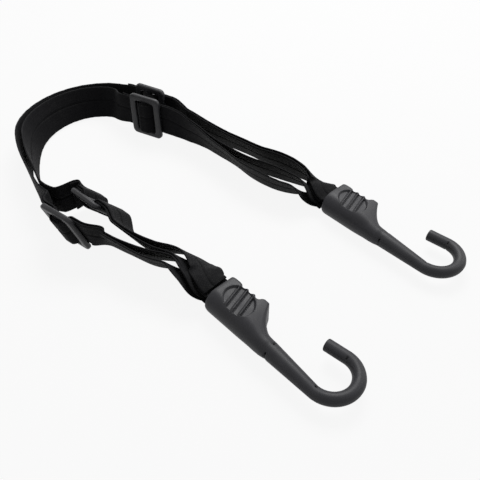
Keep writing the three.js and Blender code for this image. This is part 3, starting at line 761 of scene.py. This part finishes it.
# Dark pits left by the mould: place along the hook, depth, half width, share round the section from its back
WITNESS_MARKS = [
    (SEAM_LENGTH + 0.4 * MM, 1.8 * MM, 0.7 * MM, 0.345),
    (SEAM_LENGTH + 0.4 * MM, 1.5 * MM, 0.6 * MM, 0.06),
    (BEND_CENTRE_LENGTH + 0.5 * MM, 1.5 * MM, 0.7 * MM, 0.34),
    (BEND_CENTRE_LENGTH + BEND_RADIUS * math.radians(BEND_END_DEGREES + 84), 0.7 * MM, 0.45 * MM, 0.36),
]
MARK_SPREAD = 0.05
FLASH_LINE = 0.07 * MM


def mark_ring(ring, centre, run):
    """Draws a ring of points in at witness marks, and out along the line where the mould's halves met."""
    size = len(ring)
    share = np.arange(size) / size
    from_back = np.minimum(share, 1 - share)
    from_top = np.abs(share - 0.5)
    sink = np.zeros(size)
    for place, depth, half_width, mark_share in WITNESS_MARKS:
        along = math.exp(-(((run - place) / half_width) ** 2))
        cover = np.exp(-(((from_back - mark_share) / MARK_SPREAD) ** 4))
        sink = np.maximum(sink, depth * along * cover)
    flash = FLASH_LINE * sum(np.exp(-((away * size / 0.8) ** 2)) for away in (from_back, from_top))
    spokes = ring - centre
    spokes = spokes / np.maximum(np.linalg.norm(spokes, axis=1), 0.01 * MM)[:, None]
    return ring + spokes * (flash - sink)[:, None]


def handle_ring(x):
    rim = mouth_rounding(x)
    slim = smooth(x, SCOOP_END, SEAM_LENGTH)
    past_seam = smooth(x, SEAM_LENGTH - 4 * MM, SEAM_LENGTH)
    half = mix(HOOK_THICKNESS / 2, shank_radius(x), slim) - rim + SEAM_STEP / 2 * slim * (1 - past_seam)
    bottom = rim - BACK_DEPTH + SEAM_STEP / 2 * past_seam
    top = handle_top(x) - rim * 0.4
    room = (top - bottom) / 2
    full = mix(HUMP_EDGE_RADIUS, half, smooth(x, BLOCK_END, FLANK_END))
    back = mix(BACK_CORNER, half, slim)
    section = hook_section(half, bottom, top, min(back, half, room), min(full, half, room))
    ring = np.empty((len(section), 3))
    for i, (across, up) in enumerate(section):
        limit = half - grip_depth(x, up)
        ring[i] = (x, up, clamp(across, -limit, limit))
    return ring


def mouth_rings():
    half = HOOK_THICKNESS / 2 - SIDE_WALL
    collar = COLLAR_HEIGHT - MOUTH_WALL
    rings = []
    for x, drawn_in, top, top_radius in (
        (MOUTH_DEPTH, MOUTH_WALL, INNER_HIGH, MOUTH_WALL / 2),
        (MOUTH_DEPTH - 0.4 * MM, MOUTH_WALL * 0.4, INNER_HIGH, MOUTH_WALL / 2),
        (MOUTH_DEPTH - MOUTH_WALL, 0.0, INNER_HIGH, MOUTH_WALL),
        (SCOOP_START + 1 * MM, 0.0, INNER_HIGH, MOUTH_WALL),
        (SCOOP_START, 0.0, INNER_HIGH, MOUTH_WALL),
        (SCOOP_START - 2 * MOUTH_WALL, 0.0, collar, MOUTH_WALL),
        (0.5 * MM, 0.0, collar, MOUTH_WALL),
        (0.15 * MM, -0.12 * MM, collar, MOUTH_WALL),
        (0.0, -0.35 * MM, collar, MOUTH_WALL),
    ):
        low, high = INNER_LOW + drawn_in, top - drawn_in
        section = hook_section(half - drawn_in, low, high, MOUTH_CORNER, top_radius)
        rings.append(np.array([(x, up, across) for across, up in section]))
    return rings


def rod_ring(x, y, radius, angle):
    """A round ring whose plane is turned by an angle from the hook's cross plane."""
    circle = hook_section(radius, -radius, radius, radius, radius)
    up_x, up_y = -math.sin(angle), math.cos(angle)
    return np.array([(x + up_x * up, y + up_y * up, across) for across, up in circle])


# Stations of the handle in millimetres: close at the mouth's rim and over the ribs, wider after them
def handle_spots():
    spots = [0.0, 0.1, 0.3, 0.6, 1.0, 1.5, 2.0, 2.5, 3.0]
    while spots[-1] < SEAM_LENGTH / MM - 1.1:
        spots.append(spots[-1] + (0.28 if spots[-1] < 31 else 0.4))
    return spots + [(SEAM_LENGTH - SEAM_STEP) / MM, SEAM_LENGTH / MM]


BEND_STEPS = 140
TIP_STEPS = 14
TIP_EDGE_STEPS = 6


def hook_rings():
    rings = mouth_rings()
    runs = [0.0] * len(rings)

    def add_ring(ring, x, y, run, marked=True):
        rings.append(mark_ring(ring, np.array([x, y, 0.0]), run) if marked else ring)
        runs.append(run)

    for spot in handle_spots():
        x = spot * MM
        ring = handle_ring(x)
        add_ring(ring, x, (ring[0, 1] + ring[RING_HALF, 1]) / 2, x)
    x = SEAM_LENGTH
    while x < BEND_CENTRE_LENGTH - 0.1 * MM:
        fine = x < SEAM_LENGTH + 3 * MM or x > BEND_CENTRE_LENGTH - 3 * MM
        x = min(x + (0.3 if fine else 0.7) * MM, BEND_CENTRE_LENGTH)
        y = shank_centre(x)
        add_ring(rod_ring(x, y, shank_radius(x), 0.0), x, y, x)
    out, lift = BEND_CENTRE_LENGTH, shank_centre(BEND_CENTRE_LENGTH) + BEND_RADIUS
    turn = math.radians(BEND_END_DEGREES + 90)
    for i in range(1, BEND_STEPS + 1):
        turned = turn * i / BEND_STEPS
        angle = turned - math.pi / 2
        x, y = out + BEND_RADIUS * math.cos(angle), lift + BEND_RADIUS * math.sin(angle)
        add_ring(rod_ring(x, y, ROD_RADIUS, turned), x, y, out + BEND_RADIUS * turned)
    bend_x, bend_y, bend_run = x, y, runs[-1]
    tip = [((TIP_LENGTH - TIP_EDGE) * i / TIP_STEPS, ROD_RADIUS) for i in range(1, TIP_STEPS + 1)]
    for i in range(1, TIP_EDGE_STEPS + 1):
        angle = math.pi / 2 * i / TIP_EDGE_STEPS
        slide = TIP_LENGTH - TIP_EDGE * (1 - math.sin(angle))
        tip.append((slide, ROD_RADIUS - TIP_EDGE * (1 - math.cos(angle))))
    for slide, radius in tip:
        x, y = bend_x + math.cos(turn) * slide, bend_y + math.sin(turn) * slide
        add_ring(rod_ring(x, y, radius, turn), x, y, bend_run + slide, marked=radius == ROD_RADIUS)
    return rings, runs


HOOK_RINGS, HOOK_RUNS = hook_rings()


def add_hook(end):
    origin, along, up = hook_frame(end)
    size = 2 * RING_HALF
    verts, uvs = [], []
    for ring, run in zip(HOOK_RINGS, HOOK_RUNS):
        uvs.extend((min(i, size - i) / size, run / REACH) for i in range(size))
        x, y, z = (ring[:, k] for k in range(3))
        verts.extend(origin + np.outer(x, along) + np.outer(y, up) + np.outer(z, Z_AXIS))
    piece = new_piece(end + "_moulded_hook", verts, closed_tube(size, len(HOOK_RINGS)), uvs, sharp=55)
    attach(piece, "hook_" + end + "_body")
    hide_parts("hook_" + end)
    return piece


slider_pieces = [add_slider(name) for name in SLIDERS]
hook_pieces = [add_hook(end) for end in HOOK_PLACES]


# Materials
def new_group(name, vector, numbers, outputs):
    group = bpy.data.node_groups.new(name, "ShaderNodeTree")
    group.interface.new_socket(name=vector, in_out="INPUT", socket_type="NodeSocketVector")
    for label, value in numbers.items():
        socket = group.interface.new_socket(name=label, in_out="INPUT", socket_type="NodeSocketFloat")
        socket.default_value = value
    for label in outputs:
        group.interface.new_socket(name=label, in_out="OUTPUT", socket_type="NodeSocketFloat")
    start, end = group.nodes.new("NodeGroupInput"), group.nodes.new("NodeGroupOutput")
    return group, start.outputs, end.inputs


def feed(tree, socket, value):
    """Sets a socket to a plain number or colour, or links it to another node's output."""
    if isinstance(value, (int, float)):
        socket.default_value = value
    elif isinstance(value, tuple):
        socket.default_value = (*value, 1)
    else:
        tree.links.new(value, socket)


def set_inputs(node, values):
    for label, value in values.items():
        node.inputs[label].default_value = value


def math_node(tree, operation, *values, clamped=False):
    node = tree.nodes.new("ShaderNodeMath")
    node.operation = operation
    node.use_clamp = clamped
    for socket, value in zip(node.inputs, values):
        feed(tree, socket, value)
    return node.outputs[0]


def times(tree, a, b):
    return math_node(tree, "MULTIPLY", a, b)


def rest_of(tree, share):
    return math_node(tree, "SUBTRACT", 1.0, share)


def distance_node(tree, a, b):
    return math_node(tree, "ABSOLUTE", math_node(tree, "SUBTRACT", a, b))


def place_node(tree, output="Object"):
    return tree.nodes.new("ShaderNodeTexCoord").outputs[output]


def split_node(tree, vector):
    node = tree.nodes.new("ShaderNodeSeparateXYZ")
    tree.links.new(vector, node.inputs["Vector"])
    return node.outputs


def stretch_node(tree, vector, scale, rotation=(0, 0, 0)):
    node = tree.nodes.new("ShaderNodeMapping")
    set_inputs(node, {"Scale": scale, "Rotation": rotation})
    tree.links.new(vector, node.inputs["Vector"])
    return node.outputs["Vector"]


def noise_node(tree, vector, scale, detail=3.0, roughness=0.55):
    node = tree.nodes.new("ShaderNodeTexNoise")
    set_inputs(node, {"Detail": detail, "Roughness": roughness})
    tree.links.new(vector, node.inputs["Vector"])
    feed(tree, node.inputs["Scale"], scale)
    return node.outputs["Fac"]


def step_node(tree, value, low, high):
    node = tree.nodes.new("ShaderNodeMapRange")
    node.interpolation_type = "SMOOTHSTEP"
    for label, number in (("Value", value), ("From Min", low), ("From Max", high)):
        feed(tree, node.inputs[label], number)
    return node.outputs["Result"]


def colour_mix(tree, share, a, b):
    node = tree.nodes.new("ShaderNodeMix")
    node.data_type = "RGBA"
    tree.links.new(share, node.inputs["Factor"])
    for label, value in (("A", a), ("B", b)):
        feed(tree, [s for s in node.inputs if s.name == label and s.type == "RGBA"][0], value)
    return [s for s in node.outputs if s.type == "RGBA"][0]


# Fine pitted skin of a moulding, with cloudy flow and faint scratches
def make_mould_skin():
    group, given, result = new_group(
        "mould_skin", "Vector", {"Grain Scale": 2400.0, "Flow Scale": 90.0}, ("Height", "Flow", "Scratches")
    )
    pits = noise_node(group, given["Vector"], given["Grain Scale"], 2.0, 0.6)
    flow = noise_node(group, given["Vector"], given["Flow Scale"], 4.0, 0.6)
    lines = group.nodes.new("ShaderNodeTexWave")
    set_inputs(lines, {"Scale": 60.0, "Distortion": 26.0, "Detail": 3.0, "Detail Scale": 2.2})
    group.links.new(given["Vector"], lines.inputs["Vector"])
    thin = step_node(group, lines.outputs["Fac"], 0.985, 1.0)
    patches = step_node(group, noise_node(group, given["Vector"], 140.0, 2.0), 0.52, 0.68)
    scratches = times(group, thin, patches)
    sunk = times(group, scratches, 0.35)
    group.links.new(math_node(group, "SUBTRACT", pits, sunk), result["Height"])
    group.links.new(flow, result["Flow"])
    group.links.new(scratches, result["Scratches"])
    return group


# Rubbed edges: where the surface turns outward, broken up by noise. Painted shade in hollows: a mask where
# the surface turns inward, for darkening grooves and corners.
def make_edge_wear_and_hollow_shade():
    group, given, result = new_group(
        "rubbed_edges_and_hollow_shade", "Vector", {"Start": 0.53, "Full": 0.62}, ("Rubbed", "Hollow Shade")
    )
    geometry = group.nodes.new("ShaderNodeNewGeometry")
    edge = step_node(group, geometry.outputs["Pointiness"], given["Start"], given["Full"])
    broken = step_node(group, noise_node(group, given["Vector"], 420.0, 4.0, 0.7), 0.35, 0.62)
    group.links.new(times(group, edge, broken), result["Rubbed"])
    # Painted shade: mask of hollows, where the surface turns inward
    sunk = step_node(group, rest_of(group, geometry.outputs["Pointiness"]), 0.51, 0.6)
    group.links.new(sunk, result["Hollow Shade"])
    return group


# Dust and lint that settle on upward faces
def make_settled_dust():
    group, given, result = new_group("settled_dust", "Vector", {"Amount": 0.3}, ("Dust",))
    geometry = group.nodes.new("ShaderNodeNewGeometry")
    upward = step_node(group, split_node(group, geometry.outputs["Normal"])["Z"], 0.2, 0.95)
    cloud = step_node(group, noise_node(group, given["Vector"], 260.0, 5.0, 0.7), 0.45, 0.75)
    specks = step_node(group, noise_node(group, given["Vector"], 1500.0, 2.0, 0.5), 0.66, 0.74)
    both = math_node(group, "MAXIMUM", times(group, cloud, 0.5), specks)
    dust = times(group, upward, both)
    group.links.new(times(group, dust, given["Amount"]), result["Dust"])
    return group


# Woven elastic: rows of yarn floats between rubber cords, set out by the band's own width and length. Also
# masks for painted shade: a dark line along the crease and a darker lower half below it.
def make_weave_and_painted_shade():
    group, given, result = new_group(
        "elastic_weave_and_painted_shade", "Band", {"Cords Across": 20.0, "Rows Per Width": 17.0},
        ("Height", "Yarn", "Selvedge", "Crease Shade", "Shaded Lower Half"),
    )
    parts = split_node(group, given["Band"])
    across = times(group, parts["X"], given["Cords Across"])
    along = times(group, parts["Y"], given["Rows Per Width"])
    column = math_node(group, "FLOOR", across)
    phase = math_node(group, "ADD", along, times(group, column, 0.5))

    def half_waves(turns, power):
        wave = math_node(group, "ABSOLUTE", math_node(group, "SINE", times(group, turns, math.pi)))
        return math_node(group, "POWER", wave, power)

    bumps = times(group, half_waves(phase, 0.6), half_waves(across, 0.5))
    fuzz = noise_node(group, stretch_node(group, given["Band"], (90.0, 22.0, 1.0)), 4.0, 3.0, 0.7)
    group.links.new(math_node(group, "ADD", bumps, times(group, fuzz, 0.35)), result["Height"])
    spot = group.nodes.new("ShaderNodeCombineXYZ")
    group.links.new(column, spot.inputs["X"])
    group.links.new(math_node(group, "FLOOR", phase), spot.inputs["Y"])
    cell = group.nodes.new("ShaderNodeTexWhiteNoise")
    cell.noise_dimensions = "2D"
    group.links.new(spot.outputs["Vector"], cell.inputs["Vector"])
    shade = math_node(group, "MULTIPLY_ADD", cell.outputs["Value"], 0.5, 0.5)
    group.links.new(times(group, bumps, shade), result["Yarn"])
    from_middle = distance_node(group, parts["X"], 0.5)
    group.links.new(step_node(group, from_middle, 0.44, 0.49), result["Selvedge"])
    crease_place = 0.5 + CREASE_PLACE / BAND_WIDTH
    from_crease = distance_node(group, parts["X"], crease_place)
    # Painted shade: a dark line along the crease
    group.links.new(rest_of(group, step_node(group, from_crease, 0.006, 0.03)), result["Crease Shade"])
    # Painted shade: mask of the band's half below the crease
    above = step_node(group, parts["X"], crease_place - 0.02, crease_place + 0.02)
    group.links.new(rest_of(group, above), result["Shaded Lower Half"])
    return group


GROUPS = {
    "mould_skin": make_mould_skin(),
    "rubbed_edges_and_hollow_shade": make_edge_wear_and_hollow_shade(),
    "settled_dust": make_settled_dust(),
    "elastic_weave_and_painted_shade": make_weave_and_painted_shade(),
}


def new_material(name):
    material = bpy.data.materials.new(name)
    material.use_nodes = True
    tree = material.node_tree
    return material, tree, tree.nodes["Principled BSDF"]


def place_group(tree, name, links=None, **values):
    node = tree.nodes.new("ShaderNodeGroup")
    node.node_tree = GROUPS[name]
    for label, socket in (links or {}).items():
        tree.links.new(socket, node.inputs[label])
    set_inputs(node, {label.replace("_", " "): value for label, value in values.items()})
    return node.outputs


def add_bump(tree, shader, height, strength, distance):
    bump = tree.nodes.new("ShaderNodeBump")
    set_inputs(bump, {"Strength": strength, "Distance": distance})
    tree.links.new(height, bump.inputs["Height"])
    tree.links.new(bump.outputs["Normal"], shader.inputs["Normal"])


# Painted shade in the witness-mark pits, by share round the section and run along the hook
def add_witness_pit_shade(tree, colour):
    parts = split_node(tree, place_node(tree, "UV"))
    for place, _, half_width, share in WITNESS_MARKS:
        around = times(tree, math_node(tree, "SUBTRACT", parts["X"], share), 0.8 / MARK_SPREAD)
        along = math_node(tree, "SUBTRACT", parts["Y"], place / REACH)
        along = times(tree, along, 0.8 * REACH / half_width)
        away = math_node(tree, "ADD", times(tree, around, around), times(tree, along, along))
        spot = rest_of(tree, step_node(tree, away, 0.15, 1.1))
        # Painted shade: near-black in each pit
        colour = colour_mix(tree, times(tree, spot, 0.85), colour, (0.003, 0.003, 0.004))
    return colour


def moulded_plastic(
    name, dark, light, rubbed, dust_colour, dust_amount, roughness, edge, gloss, spots
):
    material, tree, shader = new_material(name)
    set_inputs(shader, {"Specular IOR Level": gloss})
    place = place_node(tree)
    skin = place_group(tree, "mould_skin", {"Vector": place})
    edges = place_group(tree, "rubbed_edges_and_hollow_shade", {"Vector": place}, Start=edge[0], Full=edge[1])
    dust = place_group(tree, "settled_dust", {"Vector": place}, Amount=dust_amount)
    flow = step_node(tree, skin["Flow"], 0.32, 0.7)
    colour = colour_mix(tree, flow, dark, light)
    worn = math_node(tree, "MAXIMUM", edges["Rubbed"], skin["Scratches"])
    # Painted shade: hollows and grooves darkened towards near-black
    colour = colour_mix(tree, times(tree, edges["Hollow Shade"], 0.75), colour, (0.006, 0.006, 0.007))
    colour = colour_mix(tree, times(tree, worn, 0.7), colour, rubbed)
    colour = colour_mix(tree, dust["Dust"], colour, dust_colour)
    # Painted shade darkens the witness-mark pits
    if spots:
        colour = add_witness_pit_shade(tree, colour)
    tree.links.new(colour, shader.inputs["Base Color"])
    rough = math_node(tree, "MULTIPLY_ADD", flow, 0.1, roughness)
    rough = math_node(tree, "MULTIPLY_ADD", dust["Dust"], 0.4, rough)
    rough = math_node(tree, "MULTIPLY_ADD", worn, -0.08, rough, clamped=True)
    tree.links.new(rough, shader.inputs["Roughness"])
    add_bump(tree, shader, skin["Height"], 0.12, 0.05 * MM)
    return material


def woven_elastic(name, dark, light, selvedge, dust_colour):
    material, tree, shader = new_material(name)
    place = place_node(tree)
    weave = place_group(tree, "elastic_weave_and_painted_shade", {"Band": place_node(tree, "UV")})
    dust = place_group(tree, "settled_dust", {"Vector": place}, Amount=0.22)
    cloud = step_node(tree, noise_node(tree, place, 70.0, 4.0, 0.6), 0.3, 0.75)
    share = math_node(tree, "MULTIPLY_ADD", cloud, 0.45, times(tree, weave["Yarn"], 0.6), clamped=True)
    # Painted shade: the band's lower half, below the crease, darkened
    share = times(tree, share, math_node(tree, "MULTIPLY_ADD", weave["Shaded Lower Half"], -0.45, 1.0))
    colour = colour_mix(tree, share, dark, light)
    # Painted shade: near-black line along the crease
    colour = colour_mix(tree, times(tree, weave["Crease Shade"], 0.85), colour, (0.001, 0.001, 0.0013))
    colour = colour_mix(tree, times(tree, weave["Selvedge"], 0.6), colour, selvedge)
    colour = colour_mix(tree, dust["Dust"], colour, dust_colour)
    tree.links.new(colour, shader.inputs["Base Color"])
    rough = math_node(tree, "MULTIPLY_ADD", weave["Yarn"], -0.18, 0.78)
    tree.links.new(rough, shader.inputs["Roughness"])
    set_inputs(shader, {"Specular IOR Level": 0.06, "Sheen Weight": 0.03, "Sheen Roughness": 0.45})
    add_bump(tree, shader, weave["Height"], 0.6, 0.12 * MM)
    return material


def drawn_steel(name):
    material, tree, shader = new_material(name)
    place = place_node(tree)
    drawn = stretch_node(tree, place, (40, 3, 40), (0, 0, math.radians(47.5)))
    lines = noise_node(tree, drawn, 120.0, 4.0, 0.7)
    skin = place_group(tree, "mould_skin", {"Vector": place}, Grain_Scale=1500.0)
    steel = colour_mix(tree, lines, (0.42, 0.42, 0.43), (0.66, 0.66, 0.67))
    tree.links.new(steel, shader.inputs["Base Color"])
    tree.links.new(math_node(tree, "MULTIPLY_ADD", skin["Flow"], 0.25, 0.2), shader.inputs["Roughness"])
    set_inputs(shader, {"Metallic": 1.0})
    add_bump(tree, shader, lines, 0.2, 0.03 * MM)
    return material


HOOK_PLASTIC = moulded_plastic(
    "charcoal_hook_plastic",
    dark=(0.015, 0.015, 0.018), light=(0.025, 0.025, 0.029), rubbed=(0.06, 0.06, 0.065),
    dust_colour=(0.12, 0.115, 0.11), dust_amount=0.08,
    roughness=0.44, edge=(0.6, 0.75), gloss=0.27, spots=True,
)
SLIDER_PLASTIC = moulded_plastic(
    "black_slider_plastic",
    dark=(0.014, 0.014, 0.016), light=(0.024, 0.024, 0.027), rubbed=(0.08, 0.08, 0.085),
    dust_colour=(0.16, 0.16, 0.15), dust_amount=0.1,
    roughness=0.38, edge=(0.55, 0.65), gloss=0.3, spots=False,
)
ELASTIC = woven_elastic(
    "black_woven_elastic",
    dark=(0.003, 0.003, 0.0036), light=(0.0085, 0.0085, 0.0095), selvedge=(0.012, 0.012, 0.013),
    dust_colour=(0.07, 0.07, 0.066),
)
PIN_STEEL = drawn_steel("drawn_pin_steel")


def dress(piece, material):
    piece.data.materials.clear()
    piece.data.materials.append(material)


for piece in webbing_pieces:
    dress(piece, ELASTIC)
for piece in slider_pieces:
    dress(piece, SLIDER_PLASTIC)
for piece in hook_pieces:
    dress(piece, HOOK_PLASTIC)
for end in HOOK_PLACES:
    dress(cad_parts["cross_pin_" + end], PIN_STEEL)


# Floor, backdrop and light. The camera, gloss and glass see them white, while they light the object plainly.
def seen_rays(tree):
    rays = tree.nodes.new("ShaderNodeLightPath").outputs
    seen = math_node(tree, "MAXIMUM", rays["Is Camera Ray"], rays["Is Glossy Ray"])
    return math_node(tree, "MAXIMUM", seen, rays["Is Transmission Ray"])


def set_floor():
    mesh = bpy.data.meshes.new("floor")
    half = 3.0
    corners = [(-half, -half, 0), (half, -half, 0), (half, half, 0), (-half, half, 0)]
    mesh.from_pydata(corners, [], [(0, 1, 2, 3)])
    floor = new_object("floor", mesh)
    material, tree, shader = new_material("white_floor")
    set_inputs(shader, {"Roughness": 0.8, "Specular IOR Level": 0.1})
    place = place_node(tree)
    paper = noise_node(tree, place, 40.0, 5.0, 0.6)
    white = colour_mix(tree, paper, (0.60, 0.60, 0.60), (0.64, 0.64, 0.64))
    tree.links.new(white, shader.inputs["Base Color"])
    glow = tree.nodes.new("ShaderNodeEmission")
    set_inputs(glow, {"Strength": 1.0})
    blend = tree.nodes.new("ShaderNodeMixShader")
    tree.links.new(times(tree, seen_rays(tree), 0.9), blend.inputs["Fac"])
    tree.links.new(shader.outputs["BSDF"], blend.inputs[1])
    tree.links.new(glow.outputs["Emission"], blend.inputs[2])
    tree.links.new(blend.outputs["Shader"], tree.nodes["Material Output"].inputs["Surface"])
    mesh.materials.append(material)


def set_lamp(name, place, aim, size, power):
    lamp = bpy.data.lights.new(name, "AREA")
    lamp.shape = "RECTANGLE"
    lamp.size, lamp.size_y = size
    lamp.energy = power
    holder = new_object(name, lamp)
    holder.location = place
    holder.rotation_euler = (Vector(aim) - Vector(place)).to_track_quat("-Z", "Y").to_euler()


def set_world():
    world = bpy.data.worlds.new("world")
    world.use_nodes = True
    tree = world.node_tree
    background = tree.nodes["Background"]
    background.inputs["Color"].default_value = (1, 1, 1, 1)
    strength = math_node(tree, "MULTIPLY_ADD", seen_rays(tree), 0.75, 0.25)
    tree.links.new(strength, background.inputs["Strength"])
    bpy.context.scene.world = world


set_floor()
set_world()
set_lamp("top_softbox", (0.1, 0.6, 0.8), (0, 0, 0), (0.6, 0.45), 8.5)
set_lamp("side_softbox", (0.8, 0.3, 0.5), (0, 0, 0), (0.5, 0.5), 2)
bpy.context.scene.view_settings.view_transform = "Standard"
